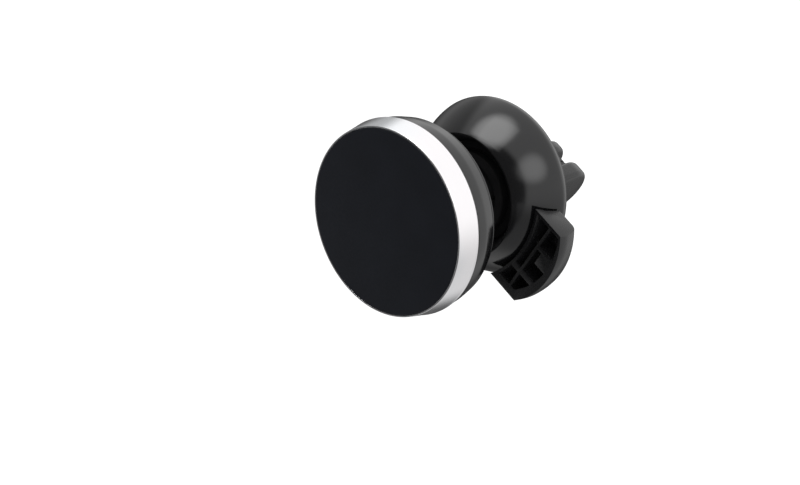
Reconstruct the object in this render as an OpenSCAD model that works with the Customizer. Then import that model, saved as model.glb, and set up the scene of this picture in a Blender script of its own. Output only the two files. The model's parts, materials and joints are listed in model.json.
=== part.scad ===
/* [Phone head] */
// Radius of the flat pad that the phone rests on
pad_r = 19.7; // [18.9:0.1:20.0]
// Thickness of the pad
pad_t = 1.2; // [1.0:0.1:1.3]
// Largest radius of the bright trim ring
ring_r = 21; // [20.8:0.1:21.4]
// Depth of the trim ring behind the pad's face
ring_depth = 5.2; // [5.0:0.1:5.4]
// Depth at which the black head shell ends
shell_depth = 11.2; // [11.0:0.1:11.4]
// Radius of the head shell at its rear end
shell_rear_r = 19.7; // [19.4:0.1:20.2]
// Number of disc magnets in the ring around the centre
magnet_count = 6; // [4:1:7]
// Radius of one disc magnet
magnet_r = 3.9; // [3:0.1:4.1]

/* [Ball joint] */
// Distance of the ball's centre behind the pad's face
ball_s = 30.5; // [30.3:0.1:30.7]
// Radius of the ball
ball_r = 6.5; // [6.3:0.1:6.5]
// Radius of the stud's neck
neck_r = 3; // [2.6:0.1:3.1]
// Gap between two surfaces that run on each other
running_gap = 0.05; // [0.02:0.01:0.08]

/* [Round housing] */
// Largest radius of the housing
dome_r = 19.6; // [19.2:0.1:20]
// Distance of the housing's widest circle behind the pad's face
dome_s = 34.2; // [34.0:0.1:34.4]
// Radius of the front mouth
mouth_r = 13.7; // [13.2:0.1:14]
// Thickness of the housing's wall
wall = 1.8; // [1.4:0.1:2]

/* [Clip] */
// Angle of the lever below the horizontal
clip_angle = 34.7; // [0:0.1:90]
// Half of the lever wing's width
wing_half = 10.4; // [9.6:0.1:10.6]
// Farthest reach of the lever wing from the head's axis
wing_reach = 25.9; // [25:0.1:27]
// Thickness of the lever wing along the head's axis
wing_t = 5.7; // [5.6:0.1:5.8]
// Half of the width of a jaw
jaw_half = 6.4; // [5.8:0.1:6.6]
// Distance of the point where the jaws grip behind the pad's face
grip_s = 52.6; // [50:0.1:54]
// Gap between the two jaw pads when the clip is closed
jaw_gap = 0.4; // [0.3:0.1:0.6]

/* [Hidden] */
$fn = 96;

// Centre plane of the two jaws, off the head's axis towards the lever
grip_u = 2.7;
// Head stack, as depths behind the pad's face
tape_end = pad_t + 0.2;
tray_end = 4.6;
plate_end = 5.6;
tray_r = 18.9;
magnet_ring_r = 11.2;
magnet_t = 2.6;
head_screw_ring_r = 16.8;
head_screw_angles = [30, 150, 270];
boss_r = 2.3;
cover_end = 12.4;
cover_rim_r = 19.1;
hub_r = 6.2;
hub_face = 10.4;
flange_front = 13.5;
flange_end = 14.6;
stud_bore_r = 1.5;
spigot_r = 2.95;
// Socket, as depths behind the pad's face
cup_front = ball_s - 3;
cup_end = ball_s + 7.7;
cup_r = 8;
seat_lip_front = cup_front - 1.1;
seat_lip_r = 7.3;
tube_r = 9.3;
pocket_floor = 28.6;
ledge_end = 29.7;
pocket_r = 12.4;
// Housing
lip_s = 24.3;
notch_r = 16.8;
notch_start = 29.2;
notch_end = 33.1;
notch_half = 8.3;
front_reach = 16;
front_power = 1.4;
rear_reach = 7.7;
seam_s = 36.2;
turret_r = 12.2;
turret_end = 43;
boss_ring_r = 14.3;
boss_angles = [100, 180, 260];
screw_seat = 37.2;
jaw_screw_u = -6.8;
jaw_screw_v = 5.2;
slot_len = 18.6;
// Clip
pivot_u = 12.6;
pivot_s = 32.5;
pin_r = 1;
hub_lever_r = 2.6;
ear_in = 8.3;
ear_out = 9.8;
wing_front = 27;
wing_inner_r = 22.5;
wing_inner_u = -5.1;
wing_arc_r = 18;
wing_arc_u = wing_reach - wing_arc_r;
pad_half = 4.7;
tip_s = grip_s - 1.1;
fixed_in = jaw_gap / 2 + 1.9;
fixed_out = fixed_in + 3.2;
lever_in = jaw_gap / 2 + 1.1;
lever_out = lever_in + 4.25;
fixed_root = 38.4;
spring_wire_r = 0.35;
spring_coil_r = 1.75;
spring_half = 1.6;

// Radius of the housing's outer surface at depth s, front half
function dome_front(s) = dome_r * sqrt(1 - pow(max(dome_s - s, 0) / front_reach, front_power));
// Radius of the housing's outer surface at depth s, rear half
function dome_rear(s) = dome_r * sqrt(1 - pow((s - dome_s) / rear_reach, 2));

// Centre line of the torsion spring about the pin: a straight leg, the coil, a straight leg
function spring_path() = let (turns = 4.25, steps = 20, count = turns * steps)
    concat(
        [[-2.9, -spring_half, -spring_coil_r]],
        [for (i = [0 : count]) let (a = -90 + i * 360 / steps)
            [spring_coil_r * cos(a), -spring_half + 2 * spring_half * i / count, spring_coil_r * sin(a)]],
        [[spring_coil_r - 0.5, spring_half, 2.6]]);
function unit(v) = v / norm(v);
// Points of one ring of the wire's surface at path point i
function wire_ring(path, i, sides) = let (
    ahead = path[min(i + 1, len(path) - 1)],
    behind = path[max(i - 1, 0)],
    across = unit(cross(unit(ahead - behind), [0, 1, 0])),
    over = unit(cross(across, unit(ahead - behind))),
    turn = 360 / sides)
    [for (k = [0 : sides - 1]) path[i] + spring_wire_r * (cos(k * turn) * across + sin(k * turn) * over)];

// Puts a shape drawn about the head's axis, with depth along z, in the part's own frame
module placed() {
    translate([-grip_u * cos(clip_angle), -grip_s, grip_u * sin(clip_angle)])
        rotate([-90, 0, 0]) children();
}

// Turns a shape so that x points along the lever
module clip_side() {
    placed() rotate([0, 0, clip_angle]) children();
}

// Ring or disc about the axis
module disc(r, from, to, hole = 0) {
    translate([0, 0, from]) difference() {
        cylinder(r = r, h = to - from);
        if (hole > 0) translate([0, 0, -1]) cylinder(r = hole, h = to - from + 2);
    }
}

// Copies a shape at several angles about the axis
module around(angles, radius) {
    for (a = angles) rotate([0, 0, a]) translate([radius, 0, 0]) children();
}

// Outline drawn as lever direction against depth, extruded across the clip
module side_plate(half) {
    rotate([90, 0, 0]) linear_extrude(2 * half, center = true) children();
}

// Outline drawn as width against depth, extruded along the lever direction
module flat_tongue(from, to) {
    translate([from, 0, 0]) rotate([90, 0, 90]) linear_extrude(to - from) children();
}

module tongue_outline(half, root, tip) {
    translate([-half, root]) square([2 * half, tip - root]);
    translate([0, tip]) circle(r = half);
}

module face_pad() {
    color([0.03, 0.035, 0.045]) placed() rotate_extrude()
        polygon([[0, 0], [pad_r - 0.3, 0], [pad_r - 0.08, 0.08], [pad_r, 0.3],
            [pad_r, pad_t], [0, pad_t]]);
}

module pad_adhesive() {
    color("silver") placed() disc(pad_r - 0.5, pad_t, tape_end);
}

module trim_ring() {
    color([0.8, 0.81, 0.84]) placed() rotate_extrude()
        polygon([[pad_r + 0.05, 0.25], [pad_r + 0.15, 0.1], [pad_r + 0.3, 0.1],
            [pad_r + 0.42, 0.25], [ring_r - 0.12, ring_depth - 0.75], [ring_r, ring_depth - 0.4],
            [ring_r - 0.1, ring_depth], [tray_r + 0.1, ring_depth], [tray_r + 0.1, tape_end],
            [pad_r + 0.05, tape_end]]);
}

module magnet_tray() {
    color([0.1, 0.1, 0.11]) placed() difference() {
        disc(tray_r, tape_end, tray_end);
        around([for (i = [0 : magnet_count - 1]) i * 360 / magnet_count], magnet_ring_r)
            translate([0, 0, tray_end - magnet_t - 0.05]) cylinder(r = magnet_r + 0.05, h = magnet_t + 1);
        translate([0, 0, tray_end - magnet_t - 0.05]) cylinder(r = magnet_r + 0.05, h = magnet_t + 1);
        around(head_screw_angles, head_screw_ring_r) {
            translate([0, 0, tape_end - 1]) cylinder(r = 1.6, h = 2.1);
            translate([0, 0, tape_end]) cylinder(r = 0.9, h = 8);
        }
    }
}

module disc_magnets() {
    color([0.75, 0.75, 0.78]) placed() {
        around([for (i = [0 : magnet_count - 1]) i * 360 / magnet_count], magnet_ring_r)
            disc(magnet_r, tray_end - magnet_t, tray_end);
        disc(magnet_r, tray_end - magnet_t, tray_end);
    }
}

module flux_plate() {
    color([0.6, 0.6, 0.62]) placed() difference() {
        disc(tray_r - 0.3, tray_end, plate_end);
        around(head_screw_angles, head_screw_ring_r) translate([0, 0, tray_end - 1]) cylinder(r = 0.9, h = 4);
    }
}

module head_shell() {
    color([0.06, 0.06, 0.065]) placed() {
        rotate_extrude()
            polygon([[ring_r - 0.35, ring_depth], [ring_r - 0.3, ring_depth + 0.3],
                [ring_r - 0.55, 8], [shell_rear_r + 0.15, shell_depth - 0.4],
                [shell_rear_r, shell_depth], [shell_rear_r - 1.6, shell_depth],
                [ring_r - 2.2, 8], [tray_r - 0.2, plate_end], [tray_r + 0.1, plate_end],
                [tray_r + 0.1, ring_depth]]);
        around(head_screw_angles, head_screw_ring_r) difference() {
            disc(boss_r, plate_end + 0.1, shell_depth - 0.8);
            disc(0.8, plate_end - 1, shell_depth - 1.6);
        }
    }
}

module head_screws() {
    color([0.7, 0.7, 0.72]) placed() around(head_screw_angles, head_screw_ring_r) {
        disc(1.5, tape_end + 0.1, tape_end + 1.1);
        disc(0.78, tape_end + 1, shell_depth - 1.7);
    }
}

module head_back_cover() {
    color([0.05, 0.05, 0.055]) placed() {
        rotate_extrude()
            polygon([[spigot_r + running_gap, hub_face], [hub_r, hub_face], [hub_r + 0.4, shell_depth],
                [cover_rim_r, shell_depth], [cover_rim_r, cover_end - 0.6], [cover_rim_r - 0.6, cover_end],
                [hub_r + 4, cover_end + 0.6], [spigot_r + running_gap, cover_end + 0.6]]);
    }
}

module stud_washer() {
    color([0.75, 0.75, 0.78]) placed() disc(5, hub_face - 0.75, hub_face - 0.05, stud_bore_r + 0.1);
}

module stud_screw() {
    color([0.72, 0.72, 0.74]) placed() difference() {
        union() {
            disc(2.8, hub_face - 2.6, hub_face - 0.75);
            disc(stud_bore_r - 0.02, hub_face - 1, 19);
        }
        rotate([0, 0, 15]) translate([0, 0, hub_face - 3]) cylinder(r = 1.3, h = 1.4, $fn = 6);
    }
}

module friction_washer() {
    color([0.85, 0.85, 0.82]) placed() disc(hub_r - 0.2, cover_end + 0.65, flange_front, spigot_r + 0.05);
}

module ball_stud() {
    color([0.08, 0.08, 0.085]) placed() difference() {
        union() {
            translate([0, 0, ball_s]) sphere(r = ball_r);
            disc(neck_r, flange_front, ball_s - 3);
            disc(spigot_r, hub_face, flange_front + 0.5);
            rotate_extrude()
                polygon([[0, flange_front], [hub_r, flange_front], [hub_r, flange_end - 0.3],
                    [hub_r - 0.3, flange_end], [neck_r + 1.1, flange_end + 0.4], [neck_r, flange_end + 2],
                    [0, flange_end + 2]]);
        }
        disc(stud_bore_r, hub_face - 1, 20);
    }
}

module socket_cup() {
    color([0.2, 0.2, 0.21]) placed() difference() {
        disc(cup_r, cup_front, cup_end);
        translate([0, 0, ball_s]) sphere(r = ball_r + 0.1);
        translate([0, 0, cup_front - 1]) cylinder(r = 5.85, h = 3);
        for (a = [0, 90]) rotate([0, 0, a]) translate([-cup_r - 1, -0.5, cup_front - 1])
            cube([2 * cup_r + 2, 1, 5.6]);
        difference() {
            disc(cup_r + 1, ball_s + 1.8, ball_s + 3.2);
            disc(cup_r - 0.85, ball_s + 1, ball_s + 4);
        }
        disc(1.5, ball_s + 5, cup_end + 1);
    }
}

module socket_grip_ring() {
    color([0.03, 0.03, 0.03]) placed() translate([0, 0, ball_s + 2.5])
        rotate_extrude() translate([cup_r - 0.43, 0]) circle(r = 0.42);
}

// Outline of the front housing: mouth, pocket, outer shell, ledge and socket tube
module front_outline() {
    front_steps = 12;
    wall_steps = 5;
    front_start = lip_s + 0.12;
    front_step = (dome_s - front_start) / front_steps;
    wall_step = (dome_s - ledge_end) / wall_steps;
    seam_step = (seam_s - dome_s) / 3;
    polygon(concat(
        [[mouth_r - 0.45, lip_s], [dome_front(lip_s) - 0.1, lip_s]],
        [for (i = [0 : front_steps])
            [dome_front(front_start + i * front_step), front_start + i * front_step]],
        [for (i = [1 : 3]) [dome_rear(dome_s + i * seam_step), dome_s + i * seam_step]],
        [for (i = [3 : -1 : 0]) [dome_rear(dome_s + i * seam_step) - wall, dome_s + i * seam_step]],
        [for (i = [wall_steps - 1 : -1 : 0])
            [dome_front(ledge_end + i * wall_step) - wall, ledge_end + i * wall_step]],
        [[tube_r, ledge_end], [tube_r, cup_end + 0.1], [cup_r + running_gap, cup_end + 0.1],
        [cup_r + running_gap, cup_front - 0.05], [seat_lip_r, cup_front - 0.05],
        [seat_lip_r, seat_lip_front], [tube_r - 0.4, seat_lip_front],
        [tube_r, seat_lip_front + 0.4], [tube_r, pocket_floor], [pocket_r, pocket_floor],
        [mouth_r - 0.6, lip_s + 0.3]]));
}

// Opening in the housing's side that the lever's wing sits in
module wing_notch() {
    difference() {
        translate([tube_r + 0.3, -notch_half, notch_start])
            cube([20, 2 * notch_half, notch_end - notch_start]);
        disc(notch_r, notch_start - 1, ledge_end + 0.3);
    }
}

module housing_front() {
    color([0.05, 0.05, 0.055]) placed() difference() {
        union() {
            difference() {
                rotate_extrude() front_outline();
                rotate([0, 0, clip_angle]) wing_notch();
            }
            rotate([0, 0, clip_angle]) {
                around(boss_angles, boss_ring_r) disc(2.2, ledge_end - 0.5, seam_s);
                for (side = [ear_in, -ear_out]) translate([pivot_u - 2.3, side, ledge_end - 0.5])
                    cube([4.6, ear_out - ear_in, pivot_s + 2.2 - ledge_end]);
            }
        }
        rotate([0, 0, clip_angle]) {
            around(boss_angles, boss_ring_r) disc(0.9, ledge_end + 1, seam_s + 1);
            translate([pivot_u, -ear_out - 0.4, pivot_s]) rotate([-90, 0, 0])
                cylinder(r = pin_r, h = 2 * ear_out + 0.8);
        }
    }
}

module housing_rear() {
    rear_steps = 8;
    rear_start = seam_s + 0.05;
    rear_step = (40 - seam_s) / rear_steps;
    color([0.05, 0.05, 0.055]) placed() difference() {
        union() {
            rotate_extrude() polygon(concat(
                [for (i = [0 : rear_steps])
                    [dome_rear(rear_start + i * rear_step), rear_start + i * rear_step]],
                [[turret_r, 40.4], [turret_r, turret_end - 1.2], [turret_r - 0.35, turret_end - 0.35],
                [turret_r - 1.2, turret_end], [0, turret_end], [0, turret_end - 1.6],
                [turret_r - 1.6, turret_end - 1.6], [turret_r - 1.6, 38.9], [14.6, 37.6],
                [dome_rear(seam_s) - wall, rear_start]]));
            rotate([0, 0, clip_angle]) around(boss_angles, boss_ring_r) disc(2.4, rear_start, 38.6);
        }
        rotate([0, 0, clip_angle]) {
            translate([grip_u - fixed_out - 0.4, -jaw_half - 0.7, seam_s - 1])
                cube([slot_len, 2 * jaw_half + 1.4, 10]);
            around(boss_angles, boss_ring_r) {
                disc(1.0, seam_s - 1, turret_end);
                disc(2.0, screw_seat, turret_end);
            }
            for (side = [-1, 1]) translate([jaw_screw_u, side * jaw_screw_v, 0]) {
                disc(0.8, 40, turret_end + 1);
                disc(1.6, turret_end - 1, turret_end + 1);
            }
        }
    }
}

// Cross recess in a screw's head
module cross_slot(half, width, from) {
    for (a = [0, 90]) rotate([0, 0, a]) translate([-half, -width / 2, from]) cube([2 * half, width, 2]);
}

module housing_screws() {
    color([0.3, 0.3, 0.31]) clip_side() around(boss_angles, boss_ring_r) difference() {
        union() {
            disc(0.88, ledge_end + 1.2, screw_seat);
            disc(1.8, screw_seat, screw_seat + 1);
        }
        cross_slot(1.2, 0.4, screw_seat + 0.5);
    }
}

module jaw_screws() {
    color([0.3, 0.3, 0.31]) clip_side() for (side = [-1, 1])
        translate([jaw_screw_u, side * jaw_screw_v, 0]) difference() {
            union() {
                disc(0.75, fixed_root + 0.4, turret_end - 1);
                disc(1.5, turret_end - 1, turret_end - 0.1);
            }
            cross_slot(1, 0.36, turret_end - 0.6);
        }
}

module upper_jaw() {
    color([0.06, 0.06, 0.065]) clip_side() difference() {
        union() {
            flat_tongue(grip_u - fixed_out, grip_u - fixed_in) tongue_outline(jaw_half, fixed_root, tip_s);
            difference() {
                disc(turret_r - 1.8, fixed_root, turret_end - 1.6);
                translate([grip_u - fixed_in - 0.6, -15, fixed_root - 1]) cube([30, 30, 6]);
            }
        }
        for (side = [-1, 1]) translate([jaw_screw_u, side * jaw_screw_v, 0])
            disc(0.75, fixed_root - 1, turret_end);
    }
}

module jaw_pad_outline() {
    difference() {
        tongue_outline(pad_half, 45, tip_s);
        for (i = [0 : 3]) translate([-pad_half - 0.5, 45.8 + i * 1.7]) square([0.9, 0.7]);
        for (i = [0 : 3]) translate([pad_half - 0.4, 45.8 + i * 1.7]) square([0.9, 0.7]);
    }
}

module upper_jaw_pad() {
    color([0.09, 0.09, 0.09]) clip_side()
        flat_tongue(grip_u - fixed_in, grip_u - jaw_gap / 2) jaw_pad_outline();
}

module lower_jaw_pad() {
    color([0.09, 0.09, 0.09]) clip_side()
        flat_tongue(grip_u + jaw_gap / 2, grip_u + lever_in) jaw_pad_outline();
}

// Outer body of the wing, before its cells are cut
module wing_block() {
    intersection() {
        translate([wing_arc_u, 0, 0]) rotate_extrude()
            polygon([[0, wing_front], [wing_arc_r, wing_front], [wing_arc_r + 0.25, wing_front + 1.6],
                [wing_arc_r + 0.1, wing_front + 3.6], [wing_arc_r - 0.3, wing_front + 4.9],
                [wing_arc_r - 1, wing_front + wing_t - 0.2], [wing_arc_r - 2, wing_front + wing_t],
                [0, wing_front + wing_t]]);
        translate([5, -wing_half, 0]) cube([40, 2 * wing_half, 60]);
    }
}

// Room for the round housing on the wing's inner side, which widens towards the back
module wing_inner(wall_t) {
    inner_r = wing_inner_r + wall_t;
    translate([wing_inner_u, 0, 0]) rotate_extrude()
        polygon([[0, 20], [inner_r, 20], [inner_r, wing_front], [inner_r + 0.5, wing_front + 1.2],
            [inner_r + 1, wing_front + 2], [inner_r + 1.9, wing_front + 4.8],
            [inner_r + 1.9, 40], [0, 40]]);
}

// Hollow of the wing, open to the front; the wall is thin on its upper side and thick on its lower side
module wing_hollow() {
    intersection() {
        translate([wing_arc_u, -1.6, wing_front - 1]) cylinder(r = wing_arc_r - 1.4, h = wing_t - 0.6);
        translate([5, -wing_half + 0.7, 0]) cube([40, 2 * wing_half - 2.7, 60]);
    }
}

module wing_ribs() {
    rib_front = wing_front + 0.15;
    rib_h = wing_t - 1.5;
    translate([19.35, -wing_half + 0.4, rib_front]) cube([0.75, 2 * wing_half - 0.8, rib_h]);
    translate([17, 3.1, rib_front]) cube([8, 1.4, rib_h]);
    translate([19.8, -4.6, rib_front]) cube([5.2, 1, rib_h]);
    translate([21.3, -4.6, rib_front]) cube([3.7, 4.1, rib_h]);
    translate([17, -4.3, rib_front + 1.6]) cube([3, 1, rib_h - 1.6]);
}

module clip_lever() {
    web_front = pivot_s - 1.3;
    web_end = wing_front + wing_t;
    color([0.06, 0.06, 0.065]) clip_side() difference() {
        union() {
            difference() {
                wing_block();
                difference() {
                    wing_hollow();
                    wing_inner(0.75);
                    wing_ribs();
                }
                wing_inner(0);
            }
            side_plate(7.9) polygon([[pivot_u, web_front], [20.6, web_front], [20.6, web_end - 0.1],
                [16.6, web_end - 0.1], [pivot_u, pivot_s + 1.4]]);
            translate([pivot_u, 8.1, pivot_s]) rotate([90, 0, 0]) cylinder(r = hub_lever_r, h = 16.2);
            side_plate(4.6) polygon([[pivot_u - 2.5, pivot_s], [pivot_u + 2.5, pivot_s + 0.5], [13.2, 37.4],
                [grip_u + lever_out, 42.8], [grip_u + lever_out, 45],
                [grip_u + lever_in, 45], [grip_u + lever_in, 40.9],
                [9.9, 38.5]]);
            flat_tongue(grip_u + lever_in, grip_u + lever_out) tongue_outline(jaw_half, 43.6, tip_s);
        }
        translate([pivot_u, -15, pivot_s]) rotate([-90, 0, 0]) cylinder(r = pin_r + running_gap, h = 30);
        translate([pivot_u - 4, -2.1, pivot_s - 3.2]) cube([8, 4.2, 8.2]);
    }
}

module pivot_pin() {
    color([0.75, 0.75, 0.78]) clip_side() translate([pivot_u, -ear_out - 0.35, pivot_s])
        rotate([-90, 0, 0]) cylinder(r = pin_r, h = 2 * ear_out + 0.7);
}

module pin_clips() {
    color([0.5, 0.5, 0.52]) clip_side() for (side = [-1, 1])
        translate([pivot_u, side > 0 ? ear_out : -ear_out - 0.3, pivot_s]) rotate([-90, 0, 0]) difference() {
            cylinder(r = 1.3, h = 0.3);
            translate([0, 0, -1]) cylinder(r = pin_r, h = 3);
        }
}

module torsion_spring() {
    path = spring_path();
    rings = len(path);
    sides = 8;
    color([0.7, 0.7, 0.72]) clip_side() translate([pivot_u, 0, pivot_s]) polyhedron(
        points = [for (i = [0 : rings - 1]) each wire_ring(path, i, sides)],
        faces = concat(
            [[for (k = [0 : sides - 1]) k]],
            [for (i = [0 : rings - 2], k = [0 : sides - 1])
                [i * sides + k, (i + 1) * sides + k,
                    (i + 1) * sides + (k + 1) % sides, i * sides + (k + 1) % sides]],
            [[for (k = [sides - 1 : -1 : 0]) (rings - 1) * sides + k]]));
}

face_pad();
pad_adhesive();
trim_ring();
magnet_tray();
disc_magnets();
flux_plate();
head_shell();
head_screws();
head_back_cover();
stud_screw();
stud_washer();
friction_washer();
ball_stud();
socket_cup();
socket_grip_ring();
housing_front();
housing_rear();
housing_screws();
upper_jaw();
jaw_screws();
upper_jaw_pad();
clip_lever();
lower_jaw_pad();
pivot_pin();
pin_clips();
torsion_spring();
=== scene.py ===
"""Looks of the car phone mount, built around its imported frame.

Shapes are drawn in millimetres about the head's axis: x and y across it, z the depth behind the pad's face.
"""
import json
import math

import bmesh
import bpy
from mathutils import Matrix, Vector


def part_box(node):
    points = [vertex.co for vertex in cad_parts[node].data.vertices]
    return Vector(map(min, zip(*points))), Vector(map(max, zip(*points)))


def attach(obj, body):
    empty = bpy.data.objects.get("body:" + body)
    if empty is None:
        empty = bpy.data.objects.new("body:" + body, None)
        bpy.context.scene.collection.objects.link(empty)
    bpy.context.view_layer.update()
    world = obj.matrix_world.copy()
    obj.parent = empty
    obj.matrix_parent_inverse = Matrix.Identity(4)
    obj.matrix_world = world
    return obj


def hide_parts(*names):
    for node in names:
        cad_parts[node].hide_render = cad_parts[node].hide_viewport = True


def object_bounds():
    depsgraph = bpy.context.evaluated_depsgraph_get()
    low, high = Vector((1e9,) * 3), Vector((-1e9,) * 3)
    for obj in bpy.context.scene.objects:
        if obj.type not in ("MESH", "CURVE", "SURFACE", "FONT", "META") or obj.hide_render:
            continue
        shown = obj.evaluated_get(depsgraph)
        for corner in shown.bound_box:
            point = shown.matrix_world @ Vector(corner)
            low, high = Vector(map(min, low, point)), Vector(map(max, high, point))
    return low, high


MM = 0.001

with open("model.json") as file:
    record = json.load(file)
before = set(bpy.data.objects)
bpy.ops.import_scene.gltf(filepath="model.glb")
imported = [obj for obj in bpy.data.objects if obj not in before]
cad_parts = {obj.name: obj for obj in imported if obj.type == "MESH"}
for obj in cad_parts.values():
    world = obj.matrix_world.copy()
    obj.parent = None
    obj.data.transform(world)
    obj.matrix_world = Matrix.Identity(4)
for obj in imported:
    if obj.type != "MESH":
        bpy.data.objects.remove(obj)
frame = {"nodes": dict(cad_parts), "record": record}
cad_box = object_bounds()
joints = {j["name"]: j for j in frame["record"]["behaviour"]["joints"]}

# ---------------------------------------------------------------- sizes from the frame


def size_of(node):
    """Width, depth and height of a CAD node in millimetres."""
    low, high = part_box(node)
    return [(high[i] - low[i]) / MM for i in range(3)]


def depths_of(node):
    """Depths behind the pad's face at which a CAD node starts and ends, in millimetres."""
    low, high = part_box(node)
    return (low[1] - face_y) / MM, (high[1] - face_y) / MM


ball = Vector(joints["socket_turn"]["pos_m"])
lever_axis = Vector(joints["lever_press"]["axis"])
face_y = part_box("face_pad")[0][1]
clip_angle = math.atan2(-lever_axis.x, -lever_axis.z)

pad_r = size_of("face_pad")[0] / 2
pad_t = depths_of("face_pad")[1]
ring_r = size_of("trim_ring")[0] / 2
ring_end = depths_of("trim_ring")[1]
shell_end = depths_of("head_shell")[1]
shell_rear_r = 19.7
shell_waist_s = 8.0
cover_r = size_of("head_back_cover")[0] / 2
cover_end = depths_of("head_back_cover")[1] - 0.6
ball_s = (ball.y - face_y) / MM
dome_r = size_of("housing_front")[0] / 2
dome_s = 34.2
lip_s = depths_of("housing_front")[0]
seam_s = depths_of("housing_front")[1]
turret_end = depths_of("housing_rear")[1]

# The clip: u runs across the jaws' gap, towards the wing, and s is the depth.
tip_s = -face_y / MM - 1.1
grip_u = 2.7
jaw_half = 6.4
jaw_pad_half = 4.7
jaw_pad_root = 45
fixed_in = grip_u - 2.1
fixed_out = grip_u - 5.3
lever_in = grip_u + 1.3
lever_out = grip_u + 5.55

HEAD = (
    Matrix.Translation((ball.x, face_y, ball.z))
    @ Matrix.Rotation(-math.pi / 2, 4, "X")
    @ Matrix.Scale(MM, 4)
)
CLIP = HEAD @ Matrix.Rotation(clip_angle, 4, "Z")

# ---------------------------------------------------------------- materials


class Nodes:
    """Short calls for building one material's node tree."""

    def __init__(self, name):
        self.material = bpy.data.materials.new(name)
        self.material.use_nodes = True
        self.tree = self.material.node_tree
        self.shader = self.tree.nodes["Principled BSDF"]
        self.place = self.add("ShaderNodeTexCoord").outputs["Object"]

    def add(self, kind, **inputs):
        node = self.tree.nodes.new(kind)
        for key, value in inputs.items():
            socket = node.inputs[key.replace("_", " ")]
            if isinstance(value, bpy.types.NodeSocket):
                self.tree.links.new(value, socket)
            else:
                socket.default_value = value
        return node

    def link(self, output, target):
        self.tree.links.new(output, self.shader.inputs[target])

    def noise(self, scale, detail=3.0, place=None):
        node = self.add("ShaderNodeTexNoise", Vector=place or self.place, Scale=scale, Detail=detail)
        return node.outputs["Fac"]

    def ranged(self, value, low, high):
        node = self.add("ShaderNodeMapRange", Value=value, To_Min=low, To_Max=high)
        node.inputs["From Min"].default_value = 0.3
        node.inputs["From Max"].default_value = 0.7
        return node.outputs["Result"]

    def ramp(self, value, *stops):
        node = self.add("ShaderNodeValToRGB", Fac=value)
        ramp = node.color_ramp
        while len(ramp.elements) < len(stops):
            ramp.elements.new(0.5)
        for element, (at, colour) in zip(ramp.elements, stops):
            element.position = at
            element.color = (*colour, 1)
        return node.outputs["Color"]

    def bump(self, height, strength, distance, before=None):
        node = self.add("ShaderNodeBump", Height=height, Strength=strength, Distance=distance)
        if before is not None:
            self.tree.links.new(before, node.inputs["Normal"])
        return node.outputs["Normal"]

    def set(self, **values):
        for key, value in values.items():
            self.shader.inputs[key.replace("_", " ")].default_value = value


def scaled(colour, factor):
    return tuple(c * factor for c in colour)


def moulded(name, colour, rough, grain=0.03, shine=0.5):
    """Moulded plastic: faint cloudy colour, uneven gloss, fine grain and slow waviness."""
    m = Nodes(name)
    cloud = m.noise(220.0)
    m.link(m.ramp(cloud, (0.3, scaled(colour, 0.88)), (0.7, scaled(colour, 1.12))), "Base Color")
    m.link(m.ranged(m.noise(900.0), rough * 0.88, rough * 1.12), "Roughness")
    fine = m.bump(m.noise(14000.0, 2.0), grain, 0.00002)
    m.link(m.bump(m.noise(160.0, 1.0), 0.05, 0.0002, fine), "Normal")
    m.set(IOR=1.5, Specular_IOR_Level=shine)
    return m.material


def soft_touch(name, colour):
    """The pad's face: matt film with a dense fine grain."""
    m = Nodes(name)
    speck = m.add("ShaderNodeTexVoronoi", Vector=m.place, Scale=5200.0).outputs["Distance"]
    cloud = m.noise(130.0)
    m.link(m.ramp(cloud, (0.3, scaled(colour, 0.9)), (0.7, scaled(colour, 1.1))), "Base Color")
    m.link(m.ranged(m.noise(2500.0), 0.5, 0.62), "Roughness")
    m.link(m.bump(speck, 0.12, 0.00003), "Normal")
    m.set(Specular_IOR_Level=0.2)
    return m.material


def satin_metal(name, colour, tint, rough):
    """Turned metal: fine lines round the head's axis and a faint pearly tint."""
    m = Nodes(name)
    parts = m.add("ShaderNodeSeparateXYZ", Vector=m.place).outputs
    across = m.add("ShaderNodeCombineXYZ", Y=parts["Y"]).outputs["Vector"]
    lines = m.noise(40000.0, 2.0, across)
    cloud = m.noise(55.0, 1.0)
    m.link(m.ramp(cloud, (0.36, colour), (0.64, tint)), "Base Color")
    m.link(m.ranged(m.noise(700.0), rough * 0.85, rough * 1.15), "Roughness")
    m.link(m.bump(lines, 0.03, 0.00001), "Normal")
    m.set(Metallic=1.0)
    return m.material


def rubber(name, colour):
    """Grip rubber: matt, with a coarse matt grain and pale dusty patches."""
    m = Nodes(name)
    dust = m.noise(420.0)
    m.link(m.ramp(dust, (0.35, colour), (0.75, scaled(colour, 1.6))), "Base Color")
    m.link(m.ranged(m.noise(1500.0), 0.62, 0.78), "Roughness")
    m.link(m.bump(m.noise(6000.0), 0.2, 0.00004), "Normal")
    m.set(Sheen_Weight=0.08, Sheen_Roughness=0.5)
    return m.material


def steel(name, colour, rough):
    """Plated or drawn steel with faint scratches and stains."""
    m = Nodes(name)
    stretched = m.add("ShaderNodeMapping", Vector=m.place, Scale=(1.0, 9.0, 1.0)).outputs["Vector"]
    m.link(m.ramp(m.noise(500.0), (0.3, scaled(colour, 0.85)), (0.7, colour)), "Base Color")
    m.link(m.ranged(m.noise(1800.0, 3.0, stretched), rough * 0.8, rough * 1.25), "Roughness")
    m.link(m.bump(m.noise(4200.0, 2.0, stretched), 0.08, 0.00003), "Normal")
    m.set(Metallic=1.0)
    return m.material


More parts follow.
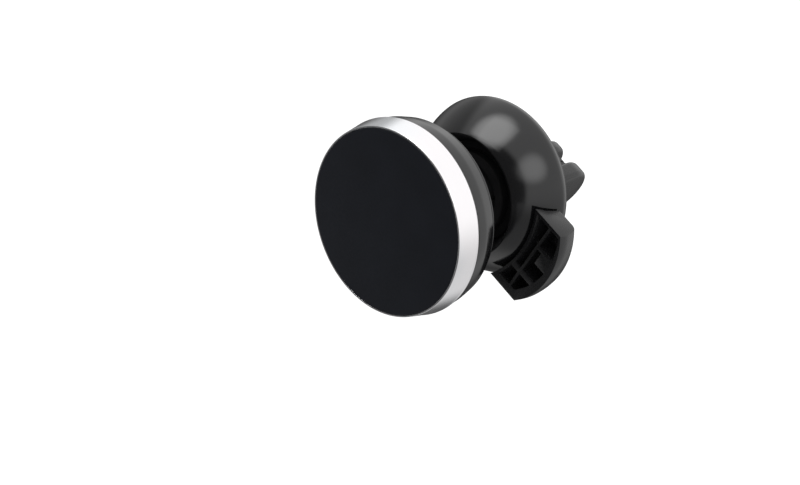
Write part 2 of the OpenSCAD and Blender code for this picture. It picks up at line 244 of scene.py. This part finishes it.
MATERIALS = {
    "pad_rubber": soft_touch("pad_face", (0.0048, 0.0058, 0.0088)),
    "tape": moulded("tape", (0.72, 0.7, 0.66), 0.7),
    "ring_metal": satin_metal("ring_satin", (0.79, 0.81, 0.83), (0.83, 0.81, 0.82), 0.2),
    "tray_plastic": moulded("tray_plastic", (0.05, 0.05, 0.055), 0.5),
    "magnet_nickel": steel("magnet_nickel", (0.75, 0.74, 0.72), 0.18),
    "plate_steel": steel("plate_steel", (0.6, 0.61, 0.62), 0.35),
    "screw_steel": steel("screw_steel", (0.2, 0.2, 0.21), 0.35),
    "head_plastic": moulded("head_plastic", (0.004, 0.004, 0.0045), 0.12, 0.015),
    "stud_plastic": moulded("stud_plastic", (0.009, 0.009, 0.0095), 0.55, shine=0.06),
    "washer_nylon": moulded("washer_nylon", (0.7, 0.69, 0.65), 0.5),
    "socket_nylon": moulded("socket_nylon", (0.009, 0.009, 0.0095), 0.6, shine=0.06),
    "seal_rubber": rubber("seal_rubber", (0.012, 0.012, 0.012)),
    "housing_gloss": moulded("housing_gloss", (0.0045, 0.0045, 0.005), 0.12, 0.015),
    "clip_plastic": moulded("clip_plastic", (0.0055, 0.0055, 0.006), 0.26, 0.02),
    "jaw_rubber": rubber("jaw_rubber", (0.012, 0.012, 0.0125)),
    "pin_steel": steel("pin_steel", (0.62, 0.62, 0.64), 0.25),
    "spring_steel": steel("spring_steel", (0.55, 0.55, 0.57), 0.3),
}

# ---------------------------------------------------------------- shape tools

NEARLY_STRAIGHT = math.radians(174)
SHARP = math.radians(28)
BEVELLED = math.radians(32)
WELD = 0.004 * MM


def spaced(start, end, count):
    return [start + (end - start) * k / count for k in range(count + 1)]


def fillet(points, radius, steps=4):
    """Rounds the corners of a closed outline of (x, y) or (x, y, own radius) points by arcs."""
    out = []
    count = len(points)
    for i in range(count):
        here = Vector(points[i][:2])
        r = points[i][2] if len(points[i]) > 2 else radius
        back = Vector(points[i - 1][:2]) - here
        ahead = Vector(points[(i + 1) % count][:2]) - here
        turn = back.angle(ahead, math.pi)
        if r <= 0 or turn > NEARLY_STRAIGHT:
            out.append(here)
            continue
        reach = min(r / math.tan(turn / 2), back.length * 0.49, ahead.length * 0.49)
        r = reach * math.tan(turn / 2)
        start, end = here + back.normalized() * reach, here + ahead.normalized() * reach
        centre = here + (back.normalized() + ahead.normalized()).normalized() * (r / math.sin(turn / 2))
        a, b = start - centre, end - centre
        sweep = a.angle(b, 0.0)
        for k in range(steps + 1):
            t = k / steps
            mix = (a * math.sin((1 - t) * sweep) + b * math.sin(t * sweep)) / max(math.sin(sweep), 1e-9)
            out.append(centre + mix)
    return out


def mesh_object(name, bm, place):
    """Turns bm, drawn in millimetres, into an object of the shared frame with sharp edges kept."""
    bmesh.ops.remove_doubles(bm, verts=bm.verts, dist=1e-5)
    bmesh.ops.recalc_face_normals(bm, faces=bm.faces)
    bm.transform(place)
    mesh = bpy.data.meshes.new(name)
    bm.to_mesh(mesh)
    bm.free()
    obj = bpy.data.objects.new(name, mesh)
    bpy.context.scene.collection.objects.link(obj)
    smooth(obj)
    return obj


def smooth(obj):
    obj.data.shade_smooth()
    obj.data.set_sharp_from_angle(angle=SHARP)


def lathe(name, outline, place=HEAD, steps=224):
    """Revolves a closed outline of (radius, depth) about the axis."""
    bm = bmesh.new()
    rings = []
    for r, s in outline:
        if r < 1e-6:
            rings.append([bm.verts.new((0, 0, s))])
        else:
            turns = [2 * math.pi * k / steps for k in range(steps)]
            rings.append([bm.verts.new((r * math.cos(a), r * math.sin(a), s)) for a in turns])
    for i in range(len(rings)):
        a, b = rings[i - 1], rings[i]
        if len(a) == 1 and len(b) == 1:
            continue
        for k in range(steps):
            n = (k + 1) % steps
            corners = [a[k % len(a)], a[n % len(a)], b[n % len(b)], b[k % len(b)]]
            bm.faces.new(list(dict.fromkeys(corners)))
    return mesh_object(name, bm, place)


def prism(name, outline, start, end, place=CLIP, along="z"):
    """Extrudes a closed outline: of (x, y) along z, of (y, z) along x, or of (x, z) along y."""
    spots = {
        "z": lambda p, t: (p[0], p[1], t),
        "x": lambda p, t: (t, p[0], p[1]),
        "y": lambda p, t: (p[0], t, p[1]),
    }
    bm = bmesh.new()
    low = [bm.verts.new(spots[along](p, start)) for p in outline]
    high = [bm.verts.new(spots[along](p, end)) for p in outline]
    bm.faces.new(low)
    bm.faces.new(high[::-1])
    for i in range(len(outline)):
        bm.faces.new([low[i - 1], low[i], high[i], high[i - 1]])
    return mesh_object(name, bm, place)


def block(name, low, high, place=CLIP):
    outline = [(low[0], low[1]), (high[0], low[1]), (high[0], high[1]), (low[0], high[1])]
    return prism(name, outline, low[2], high[2], place)


def rod(name, centre, radius, start, end, along="z", place=CLIP, steps=48):
    """A round bar along one of the clip's directions."""
    turns = [2 * math.pi * k / steps for k in range(steps)]
    outline = [(centre[0] + radius * math.cos(a), centre[1] + radius * math.sin(a)) for a in turns]
    return prism(name, outline, start, end, place, along)


def settle(obj):
    """Applies obj's modifiers."""
    graph = bpy.context.evaluated_depsgraph_get()
    mesh = bpy.data.meshes.new_from_object(obj.evaluated_get(graph))
    obj.modifiers.clear()
    obj.data = mesh


def combine(obj, other, how):
    """Joins other to obj, cuts it away or keeps what they share, then removes other."""
    step = obj.modifiers.new("combine", "BOOLEAN")
    step.operation = how
    step.object = other
    step.solver = "EXACT"
    settle(obj)
    bpy.data.objects.remove(other)


def join(obj, *others):
    for other in others:
        combine(obj, other, "UNION")


def cut(obj, other):
    combine(obj, other, "DIFFERENCE")


def soften(obj, width, segments=3):
    """Rounds every sharp edge, as a mould does."""
    bm = bmesh.new()
    bm.from_mesh(obj.data)
    bmesh.ops.remove_doubles(bm, verts=bm.verts, dist=WELD)
    bmesh.ops.dissolve_degenerate(bm, edges=bm.edges, dist=WELD)
    bmesh.ops.dissolve_limit(bm, verts=bm.verts, edges=bm.edges, angle_limit=math.radians(0.5))
    bm.to_mesh(obj.data)
    bm.free()
    step = obj.modifiers.new("soften", "BEVEL")
    step.width = width * MM
    step.segments = segments
    step.limit_method = "ANGLE"
    step.angle_limit = BEVELLED
    step.miter_outer = "MITER_ARC"
    settle(obj)
    smooth(obj)


def dress(obj, body, node):
    """obj stands for its CAD node, rides on that node's body and takes its finish."""
    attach(obj, body)
    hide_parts(node)
    name = next(p["material_slot"] for p in frame["record"]["subparts"] if p["node"] == node)
    obj.data.materials.clear()
    obj.data.materials.append(MATERIALS[name])


# ---------------------------------------------------------------- phone head

SPIGOT_R = 3.0
SPIGOT_S = 10.4


def phone_head():
    """Pad, ring, shell and back cover, each turned about the head's axis."""
    pad = lathe("pad_disc", fillet([(0, 0, 0), (pad_r, 0, 0.28), (pad_r, pad_t, 0), (0, pad_t, 0)], 0))
    dress(pad, "head", "face_pad")

    inner = pad_r + 0.05
    bore_r = 19.0
    band = [
        (inner, 0.12, 0.06), (inner + 0.34, 0.1, 0.14), (ring_r - 0.12, ring_end - 0.75, 0.9),
        (ring_r, ring_end - 0.35, 0.2), (ring_r - 0.15, ring_end, 0.12), (bore_r, ring_end, 0),
        (bore_r, pad_t + 0.2, 0), (inner, pad_t + 0.2, 0),
    ]
    dress(lathe("ring_band", fillet(band, 0.05)), "head", "trim_ring")

    shell = [
        (ring_r - 0.45, ring_end, 0.05), (ring_r - 0.3, ring_end + 0.25, 0.15),
        (ring_r - 0.5, shell_waist_s, 6.0), (shell_rear_r + 0.12, shell_end - 0.4, 0.3),
        (shell_rear_r - 0.1, shell_end, 0.2), (shell_rear_r - 1.6, shell_end, 0),
        (ring_r - 2.2, shell_waist_s, 0), (18.8, 5.7, 0), (bore_r, ring_end, 0),
    ]
    dress(lathe("head_body", fillet(shell, 0.05)), "head", "head_shell")

    cover = [
        (SPIGOT_R, SPIGOT_S, 0), (6.2, SPIGOT_S, 0), (6.6, shell_end, 0), (cover_r, shell_end, 0),
        (cover_r, cover_end - 0.1, 0.45), (cover_r - 0.9, cover_end + 0.05, 0.3),
        (10.2, cover_end + 0.6, 2.0), (SPIGOT_R, cover_end + 0.6, 0.2),
    ]
    dress(lathe("head_back", fillet(cover, 0.1)), "head", "head_back_cover")


def stud_profile():
    """Spigot, flange, neck and ball, from the spigot's front end to the ball's back."""
    neck_r = 3.0
    ball_r = 6.5
    flange_r = 6.2
    flange_s = 13.5
    spigot_r = SPIGOT_R - 0.05
    start = math.asin(neck_r / ball_r)
    neck_end = ball_s - ball_r * math.cos(start) - 0.4
    front = [
        (0, SPIGOT_S, 0), (spigot_r, SPIGOT_S, 0.1), (spigot_r, flange_s, 0), (flange_r, flange_s, 0.15),
        (flange_r, flange_s + 0.95, 0.3), (4.4, flange_s + 1.5, 0.8), (neck_r, flange_s + 3.1, 1.6),
        (neck_r, neck_end, 0), (neck_r - 0.4, ball_s, 0), (0, ball_s, 0),
    ]
    neck = fillet(front, 0.05)[:-2]
    arc = spaced(start, math.pi, 28)
    return neck + [(ball_r * math.sin(a), ball_s - ball_r * math.cos(a)) for a in arc]


def ball_joint():
    dress(lathe("ball_neck", stud_profile(), steps=160), "stud", "ball_stud")


# ---------------------------------------------------------------- round housing

FRONT_REACH = 16.0
REAR_REACH = 7.7
FRONT_POWER = 1.4
WALL = 1.8
MOUTH_R = 13.7
SEAM = 36.2
NOTCH_START = 29.5
NOTCH_END = 33.1
NOTCH_HALF = 8.3
LEDGE = 29.7
TUBE_R = 9.3
TUBE_BORE_R = 8.05
TUBE_LIP_R = 7.3
TUBE_LIP_S = 26.4
TUBE_FOOT_S = 28.6
PIVOT_U = 12.6
PIVOT_S = 32.5
PIVOT_BORE_R = 1.05
EAR_IN = 8.3
EAR_OUT = 9.8
PLATE_START = 38.4
PLATE_WALL = 1.6
SCREW_U = -6.8
SCREW_V = 5.2
SLOT_LONG = 18.6
WELL_ANGLES = (100, 180, 260)


def dome_front(s):
    """Radius of the housing's outside at a depth in front of its widest place."""
    return dome_r * math.sqrt(1 - (max(dome_s - s, 0) / FRONT_REACH) ** FRONT_POWER)


def dome_rear(s):
    """Radius of the housing's outside at a depth behind its widest place."""
    return dome_r * math.sqrt(max(0.0, 1 - ((s - dome_s) / REAR_REACH) ** 2))


def front_housing():
    """Dome with its mouth, the tube round the ball's cup, the notch for the wing and the lever's ears."""
    lip = [
        (MOUTH_R - 0.6, lip_s + 1.0, 0), (MOUTH_R - 0.3, lip_s, 0.16),
        (dome_front(lip_s) - 0.05, lip_s, 0.2), (dome_front(lip_s + 0.6), lip_s + 0.6, 0),
    ]
    outer = [(dome_front(s), s) for s in spaced(lip_s + 0.6, dome_s, 40)[1:]]
    outer += [(dome_rear(s), s) for s in spaced(dome_s, SEAM, 8)[1:-1]]
    seam = [(dome_rear(SEAM) - 0.02, SEAM - 0.12), (dome_rear(SEAM) - 0.14, SEAM)]
    inner = [
        (dome_rear(SEAM) - WALL, SEAM), (dome_r - WALL, dome_s), (dome_front(31.5) - WALL, 31.5),
        (dome_front(LEDGE) - WALL, LEDGE),
    ]
    tube = [
        (TUBE_R, LEDGE, 0), (TUBE_R, seam_s, 0), (TUBE_BORE_R, seam_s, 0),
        (TUBE_BORE_R, TUBE_LIP_S + 1.05, 0), (TUBE_LIP_R, TUBE_LIP_S + 1.05, 0),
        (TUBE_LIP_R, TUBE_LIP_S, 0.15), (TUBE_R, TUBE_LIP_S, 0.35), (TUBE_R, TUBE_FOOT_S, 0),
        (12.4, TUBE_FOOT_S, 0.5),
    ]
    outline = fillet(lip, 0) + outer + seam + inner + fillet(tube, 0)
    shell = lathe("front_shell", outline, steps=240)
    notch = block("notch", (9.6, -NOTCH_HALF, NOTCH_START), (30, NOTCH_HALF, NOTCH_END))
    cut(notch, rod("core", (0, 0), 16.8, NOTCH_START - 1, LEDGE + 0.3, steps=160))
    cut(shell, notch)
    for side in (-1, 1):
        near, far = sorted((side * EAR_IN, side * EAR_OUT))
        join(shell, block("ear", (PIVOT_U - 2.3, near, LEDGE - 0.4), (PIVOT_U + 2.3, far, PIVOT_S + 2.2)))
    smooth(shell)
    dress(shell, "housing", "housing_front")
    # The housing's own faces inside the mouth take the stud's dull, low-shine plastic instead of the
    # housing's gloss: painted shade, so the mouth's recess reads black as if in shadow.
    shell.data.materials.append(MATERIALS["stud_plastic"])
    to_axis = HEAD.inverted()
    for face in shell.data.polygons:
        spot = to_axis @ face.center
        if math.hypot(spot.x, spot.y) < MOUTH_R - 0.2 and spot.z < 29:
            face.material_index = 1


def rear_housing():
    """Rear dome and turret, with the jaws' slot, the housing screws' wells and the jaw screws' seats."""
    outer = [(dome_rear(s), s) for s in spaced(SEAM + 0.35, 40.0, 16)]
    seam = [
        (dome_rear(SEAM) - 0.35, SEAM + 0.05), (dome_rear(SEAM) - 0.12, SEAM + 0.08),
        (dome_rear(SEAM + 0.2) - 0.02, SEAM + 0.2),
    ]
    turret = [
        (12.3, 40.6, 1.0), (12.2, turret_end - 0.1, 0.9), (11.0, turret_end, 0.2), (0, turret_end, 0),
    ]
    inner = [
        (0, turret_end - PLATE_WALL), (10.6, turret_end - PLATE_WALL), (10.6, 38.9), (14.6, 37.6),
        (dome_rear(SEAM) - WALL, SEAM + 0.05),
    ]
    shell = lathe("rear_shell", seam + outer + fillet(turret, 0) + inner, steps=240)
    slot_u = fixed_out - 0.4
    slot_half = jaw_half + 0.7
    cut(shell, block("slot", (slot_u, -slot_half, SEAM - 1), (slot_u + SLOT_LONG, slot_half, SEAM + 9)))
    for angle in WELL_ANGLES:
        turned = CLIP @ Matrix.Rotation(math.radians(angle), 4, "Z")
        cut(shell, rod("well", (14.3, 0), 2.0, 37.2, turret_end + 1, place=turned))
    for side in (-1, 1):
        cut(shell, rod("seat", (SCREW_U, side * SCREW_V), 1.6, turret_end - 1, turret_end + 1))
    smooth(shell)
    dress(shell, "housing", "housing_rear")


# ---------------------------------------------------------------- clip

GROOVES = 4
GROOVE_STEP = 1.7
GROOVE_WIDE = 0.7
GROOVE_DEEP = 0.35
WING_FRONT = 27.0
WING_BACK = 32.7
WING_HALF = 10.4
WING_ARC_U = 7.9
WING_ARC_R = 18.0
INNER_ARC_U = -5.1
INNER_ARC_R = 22.2
RIB_U = 19.35
RIB_THICK = 0.65


def tongue(half, root, tip):
    """Outline with straight sides from root and a round end about tip."""
    arc = spaced(0, math.pi, 40)
    return [(-half, root), (half, root)] + [(half * math.cos(a), tip + half * math.sin(a)) for a in arc]


def jaw_pad(name, face, back, body, node):
    """Rubber pad with notched sides and grooves across its grip face."""
    outline = tongue(jaw_pad_half, jaw_pad_root, tip_s)
    pad = prism(name, outline, min(face, back), max(face, back), along="x")
    soften(pad, 0.12, 2)
    for i in range(GROOVES):
        low = jaw_pad_root + 0.8 + i * GROOVE_STEP
        high = low + GROOVE_WIDE
        cut(pad, block("groove", (face - GROOVE_DEEP, -3.6, low), (face + GROOVE_DEEP, 3.6, high)))
        for side in (-1, 1):
            near, far = sorted((side * (jaw_pad_half - 0.4), side * (jaw_pad_half + 1)))
            cut(pad, block("nick", (-3, near, low), (7, far, high)))
    smooth(pad)
    dress(pad, body, node)


def upper_jaw():
    """Fixed jaw on a round plate that is screwed inside the turret."""
    jaw = prism("fixed_jaw", tongue(jaw_half, PLATE_START, tip_s), fixed_out, fixed_in, along="x")
    soften(jaw, 1.0, 6)
    base = rod("base", (0, 0), 10.4, PLATE_START, turret_end - PLATE_WALL, steps=96)
    cut(base, block("half", (fixed_in - 0.6, -15, 37), (30, 15, 45)))
    join(jaw, base)
    for side in (-1, 1):
        cut(jaw, rod("hole", (SCREW_U, side * SCREW_V), 0.75, 37, 45))
    smooth(jaw)
    dress(jaw, "housing", "upper_jaw")
    jaw_pad("fixed_jaw_pad", grip_u - 0.2, fixed_in, "housing", "upper_jaw_pad")


def wing_outer():
    """Outer face of the wing as (radius from the arc's centre, depth)."""
    r = WING_ARC_R
    outline = [
        (0, WING_FRONT, 0), (r, WING_FRONT, 0), (r + 0.3, WING_FRONT + 1.8, 5.0),
        (r + 0.1, WING_FRONT + 3.6, 5.0), (r - 0.35, WING_BACK, 1.1), (r - 3.0, WING_BACK, 0),
        (0, WING_BACK, 0),
    ]
    return fillet(outline, 0, 8)


def wing_inner(wall):
    """Room on the wing's inner side, which widens towards the back."""
    r = INNER_ARC_R + wall
    outline = [
        (0, 20), (r, 20), (r, WING_FRONT), (r + 0.5, WING_FRONT + 1.2), (r + 1, WING_FRONT + 2),
        (r + 1.9, WING_FRONT + 4.8), (r + 1.9, 40), (0, 40),
    ]
    return lathe("inner", outline, CLIP @ Matrix.Translation((INNER_ARC_U, 0, 0)), steps=240)


def wing_cells():
    """The wing's hollow, less its ribs."""
    hollow = rod("hollow", (WING_ARC_U, -1.6), WING_ARC_R - 1.4, WING_FRONT - 1, WING_BACK - 1.6, steps=160)
    combine(hollow, block("sides", (5, -WING_HALF + 0.7, 20), (45, WING_HALF - 2.0, 40)), "INTERSECT")
    cut(hollow, wing_inner(0.6))
    top = WING_FRONT + 0.15
    low = WING_BACK - 1.4
    cut(hollow, block("long_rib", (RIB_U, -WING_HALF, top), (RIB_U + RIB_THICK, WING_HALF, low)))
    cut(hollow, block("cross_rib", (17, 3.1, top), (26, 4.5, low)))
    cut(hollow, block("block_edge", (19.8, -4.6, top), (26, -3.6, low)))
    cut(hollow, block("solid", (21.3, -4.6, top), (26, -0.5, low)))
    cut(hollow, block("low_rib", (16, -4.3, top + 1.6), (19.9, -3.3, low)))
    return hollow


def lever():
    """Wing, web, hub, arm and moving jaw in one piece."""
    wing = lathe("lever", wing_outer(), CLIP @ Matrix.Translation((WING_ARC_U, 0, 0)), steps=200)
    combine(wing, block("span", (5, -WING_HALF, 20), (45, WING_HALF, 40)), "INTERSECT")
    cut(wing, wing_cells())
    cut(wing, wing_inner(0))
    soften(wing, 0.16)
    web_outline = [
        (PIVOT_U, 31.2), (20.6, 31.2), (20.6, WING_BACK - 0.1), (16.6, WING_BACK - 0.1), (PIVOT_U, 33.9),
    ]
    web = prism("web", web_outline, -7.9, 7.9, along="y")
    hub = rod("hub", (PIVOT_U, PIVOT_S), 2.6, -8.1, 8.1, "y")
    arm_outline = [
        (10.1, 32.5), (15.1, 33.0), (13.2, 37.4), (lever_out, 42.8), (lever_out, 45), (lever_in, 45),
        (lever_in, 40.9), (9.9, 38.5),
    ]
    arm = prism("arm", arm_outline, -4.6, 4.6, along="y")
    soften(arm, 0.3)
    jaw = prism("jaw", tongue(jaw_half, 43.6, tip_s), lever_in, lever_out, along="x")
    soften(jaw, 1.1, 6)
    join(wing, web, hub, arm, jaw)
    cut(wing, rod("bore", (PIVOT_U, PIVOT_S), PIVOT_BORE_R, -15, 15, "y"))
    cut(wing, block("gap", (PIVOT_U - 4, -2.1, 29.3), (PIVOT_U + 4, 2.1, 37.5)))
    smooth(wing)
    dress(wing, "lever", "clip_lever")
    jaw_pad("lever_jaw_pad", grip_u + 0.2, lever_in, "lever", "lower_jaw_pad")


phone_head()
ball_joint()
front_housing()
rear_housing()
upper_jaw()
lever()

# ---------------------------------------------------------------- carried-over CAD nodes

for part in frame["record"]["subparts"]:
    node = frame["nodes"][part["node"]]
    node.data.materials.clear()
    node.data.materials.append(MATERIALS[part["material_slot"]])

# ---------------------------------------------------------------- floor, light and camera

# The floor is this far under the object, so that the head can tilt down above it.
FLOOR_GAP = 0.0115
FLOOR_REACH = 3
LAMP_SIDE = 0.3
LAMP_DISTANCE = 0.5
LAMP_WATTS = 0.2
MATT_LEVEL = 1.02


def floor():
    """Plain white floor, left out of reflections."""
    bm = bmesh.new()
    z = cad_box[0][2] - FLOOR_GAP
    corners = ((-1, -1), (1, -1), (1, 1), (-1, 1))
    bm.faces.new([bm.verts.new((x * FLOOR_REACH, y * FLOOR_REACH, z)) for x, y in corners])
    mesh = bpy.data.meshes.new("floor")
    bm.to_mesh(mesh)
    bm.free()
    plane = bpy.data.objects.new("floor", mesh)
    bpy.context.scene.collection.objects.link(plane)
    plane.visible_glossy = False
    m = Nodes("floor_white")
    m.link(m.ramp(m.noise(3.0), (0.3, (0.15, 0.15, 0.15)), (0.7, (0.17, 0.17, 0.17))), "Base Color")
    m.set(Roughness=0.12, Specular_IOR_Level=0.35, Emission_Color=(1, 1, 1, 1), Emission_Strength=0.88)
    mesh.materials.append(m.material)


def toward(azimuth, elevation):
    """Unit vector out to that azimuth and elevation, with azimuth 0 at the object's front."""
    a, e = math.radians(azimuth), math.radians(elevation)
    return Vector((math.sin(a) * math.cos(e), -math.cos(a) * math.cos(e), math.sin(e)))


def top_light():
    """Soft lamp over the front of the object."""
    back = toward(0, 73)
    data = bpy.data.lights.new("key_top", "AREA")
    data.shape = "RECTANGLE"
    data.size = LAMP_SIDE
    data.size_y = LAMP_SIDE
    data.energy = LAMP_WATTS
    lamp = bpy.data.objects.new("key_top", data)
    lamp.location = Vector((0, -0.02, 0)) + back * LAMP_DISTANCE
    lamp.rotation_euler = (-back).to_track_quat("-Z", "Y").to_euler()
    bpy.context.scene.collection.objects.link(lamp)


def studio():
    """Light all round for matt surfaces, and for shiny ones a room with walls, a table and two lamps."""
    world = bpy.data.worlds.new("studio")
    world.use_nodes = True
    tree = world.node_tree
    ray = tree.nodes.new("ShaderNodeTexCoord").outputs["Generated"]
    path = tree.nodes.new("ShaderNodeLightPath")

    def ranged(value, start, end, low, high):
        node = tree.nodes.new("ShaderNodeMapRange")
        node.interpolation_type = "SMOOTHSTEP"
        for key, number in (("From Min", start), ("From Max", end), ("To Min", low), ("To Max", high)):
            node.inputs[key].default_value = number
        tree.links.new(value, node.inputs["Value"])
        return node.outputs["Result"]

    def combined(how, a, b):
        node = tree.nodes.new("ShaderNodeMath")
        node.operation = how
        tree.links.new(a, node.inputs[0])
        tree.links.new(b, node.inputs[1])
        return node.outputs["Value"]

    def along(direction, outer, inner, low, high):
        """Level that is low beyond the outer angle from a direction and high within the inner one."""
        node = tree.nodes.new("ShaderNodeVectorMath")
        node.operation = "DOT_PRODUCT"
        tree.links.new(ray, node.inputs[0])
        node.inputs[1].default_value = direction
        start, end = math.cos(math.radians(outer)), math.cos(math.radians(inner))
        return ranged(node.outputs["Value"], start, end, low, high)

    down = toward(0, -90)
    front_wall = along(toward(0, 0), 66, 61, 1.0, 0.11)
    left_wall = along(toward(-90, 0), 56, 44, 1.0, 0.42)
    height = along(down, 95, 50, 1.2, 0.78)
    table = combined("MULTIPLY", along(down, 84, 76, 0.0, 1.0), along(down, 72, 35, 0.5, 0.12))
    table_front = along(toward(0, -10), 58, 50, 1.0, 0.3)
    behind = along(toward(-137, -28), 52, 20, 1.0, 0.14)
    low_right = along(toward(65, -50), 42, 18, 1.0, 0.58)
    top_lamp = along(toward(-22, 73), 27, 11, 0.0, 3.5)
    side_lamp = along(toward(74, 28), 21, 3, 0.0, 1.9)
    room = combined("MULTIPLY", combined("MULTIPLY", front_wall, left_wall), height)
    room = combined("MAXIMUM", room, combined("MULTIPLY", table, table_front))
    room = combined("MULTIPLY", combined("MULTIPLY", room, behind), low_right)
    room = combined("ADD", combined("ADD", room, top_lamp), side_lamp)
    mix = tree.nodes.new("ShaderNodeMix")
    mix.inputs["A"].default_value = MATT_LEVEL
    tree.links.new(path.outputs["Is Glossy Ray"], mix.inputs["Factor"])
    tree.links.new(room, mix.inputs["B"])
    tree.links.new(mix.outputs["Result"], tree.nodes["Background"].inputs["Strength"])
    tree.nodes["Background"].inputs["Color"].default_value = (1, 1, 1, 1)
    bpy.context.scene.world = world


def camera():
    """Camera to the right of the front and a little above, in millimetres from the pad's middle."""
    data = bpy.data.cameras.new("camera")
    data.lens = 84.4
    data.sensor_width = 36
    cam = bpy.data.objects.new("camera", data)
    from_pad = HEAD @ Matrix.Rotation(math.pi / 2, 4, "X")
    eye = from_pad @ Vector((246.0, -265.6, 122.5))
    aim = from_pad @ Vector((-8.25, 13.86, -9.83))
    cam.location = eye
    cam.rotation_euler = (aim - eye).to_track_quat("-Z", "Y").to_euler()
    bpy.context.scene.collection.objects.link(cam)
    bpy.context.scene.camera = cam


floor()
studio()
top_light()
camera()
bpy.context.scene.view_settings.view_transform = "Standard"
